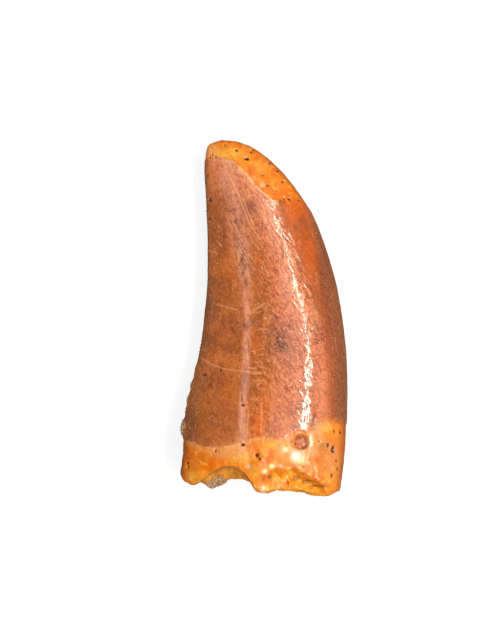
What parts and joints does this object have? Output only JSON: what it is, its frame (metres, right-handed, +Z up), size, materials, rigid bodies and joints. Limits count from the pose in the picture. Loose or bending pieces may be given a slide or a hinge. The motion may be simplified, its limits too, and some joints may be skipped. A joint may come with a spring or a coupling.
{
  "type": "fossil theropod tooth",
  "caption": "Curved fossil tooth crown, flattened side to side, with a keeled hollow edge, a worn tip and a broken base, lying on its side.",
  "frame": {"origin": "on the surface that the tooth lies on, under the middle of its box", "axes": "+Y towards the tip, -X towards the keeled hollow edge, +Z up out of the side that shows"},
  "size_m": [0.0236, 0.0502, 0.0117],
  "materials": {
    "fossil_tooth": "glossy red-brown enamel over bright orange dentine, with crumbs of brown sandstone"
  },
  "bodies": {
    "root": {"tooth": "fossil_tooth"}
  },
  "joints": []
}
